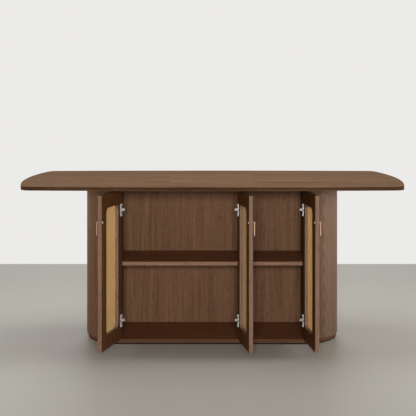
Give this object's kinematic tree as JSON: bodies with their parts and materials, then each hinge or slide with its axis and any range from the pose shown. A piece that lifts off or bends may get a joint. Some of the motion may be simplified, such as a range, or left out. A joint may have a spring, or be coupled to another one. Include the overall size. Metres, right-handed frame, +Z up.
{
  "type": "kitchen table with storage cabinet",
  "caption": "Dining table with a soft-cornered top on a pill-shaped cabinet base; inset cane doors open on shelved bays.",
  "frame": {"origin": "on the floor, under the middle of the table top", "axes": "+X right along the table, +Y to the back, +Z up; the doors are on the -Y side"},
  "size_m": [1.7999, 0.914, 0.762],
  "materials": {
    "top_veneer": "satin veneer",
    "base_veneer": "satin veneer",
    "inner_veneer": "satin veneer",
    "door_wood": "satin veneer",
    "hidden_wood": "bare",
    "cane": "woven cane",
    "cane_bead": "satin",
    "hinge_steel": "nickel plated",
    "pull_brass": "pale brushed",
    "pad_rubber": "matte"
  },
  "bodies": {
    "table": {"back_panel": "inner_veneer", "bottom_screws": "hinge_steel", "carcass_bottom": "base_veneer", "carcass_top": "base_veneer", "curved_end_left": "base_veneer", "curved_end_right": "base_veneer", "end_formers": "hidden_wood", "floor_pads": "pad_rubber", "hinge_arms_left": "hinge_steel", "hinge_arms_middle": "hinge_steel", "hinge_arms_right": "hinge_steel", "hinge_plates_left": "hinge_steel", "hinge_plates_middle": "hinge_steel", "hinge_plates_right": "hinge_steel", "partition": "inner_veneer", "plate_screws": "hinge_steel", "plinth": "hidden_wood", "shelf_left": "inner_veneer", "shelf_pins": "hinge_steel", "shelf_right": "inner_veneer", "side_panel_left": "inner_veneer", "side_panel_right": "inner_veneer", "table_top_centre": "top_veneer", "table_top_left": "top_veneer", "table_top_right": "top_veneer", "top_dowels": "hidden_wood", "top_screws": "hinge_steel"},
    "left_door": {"hinge_cups_left": "hinge_steel", "hinge_pins_left": "hinge_steel", "cup_screws_left": "hinge_steel", "door_frame_left": "door_wood", "cane_panel_left": "cane", "cane_bead_left": "cane_bead", "pull_post_left": "pull_brass", "pull_pin_left": "pull_brass", "pull_screw_left": "hinge_steel"},
    "left_pull": {"pull_drop_left": "pull_brass"},
    "middle_door": {"hinge_cups_middle": "hinge_steel", "hinge_pins_middle": "hinge_steel", "cup_screws_middle": "hinge_steel", "door_frame_middle": "door_wood", "cane_panel_middle": "cane", "cane_bead_middle": "cane_bead", "pull_post_middle": "pull_brass", "pull_pin_middle": "pull_brass", "pull_screw_middle": "hinge_steel"},
    "middle_pull": {"pull_drop_middle": "pull_brass"},
    "right_door": {"hinge_cups_right": "hinge_steel", "hinge_pins_right": "hinge_steel", "cup_screws_right": "hinge_steel", "door_frame_right": "door_wood", "cane_panel_right": "cane", "cane_bead_right": "cane_bead", "pull_post_right": "pull_brass", "pull_pin_right": "pull_brass", "pull_screw_right": "hinge_steel"},
    "right_pull": {"pull_drop_right": "pull_brass"}
  },
  "joints": [
    {"name": "left_door_swing", "type": "hinge", "parent": "table", "child": "left_door", "pos_m": [-0.432, -0.18, 0.37525], "axis": [0, 0, 1], "range_deg": [-1, 104]},
    {"name": "middle_door_swing", "type": "hinge", "parent": "table", "child": "middle_door", "pos_m": [0.128, -0.18, 0.37525], "axis": [0, 0, 1], "range_deg": [-98.8, 6.2]},
    {"name": "right_door_swing", "type": "hinge", "parent": "table", "child": "right_door", "pos_m": [0.432, -0.18, 0.37525], "axis": [0, 0, 1], "range_deg": [-96.7, 8.3]},
    {"name": "left_pull_swing", "type": "hinge", "parent": "left_door", "child": "left_pull", "pos_m": [-0.51321, -0.43544, 0.603], "axis": [0.2419, 0.9703, 0], "range_deg": [-4, 60]},
    {"name": "middle_pull_swing", "type": "hinge", "parent": "middle_door", "child": "middle_pull", "pos_m": [0.18572, -0.44175, 0.603], "axis": [0.153, -0.9882, 0], "range_deg": [-4, 60]},
    {"name": "right_pull_swing", "type": "hinge", "parent": "right_door", "child": "right_pull", "pos_m": [0.47934, -0.43723, 0.603], "axis": [0.1167, -0.9932, 0], "range_deg": [-4, 60]}
  ]
}
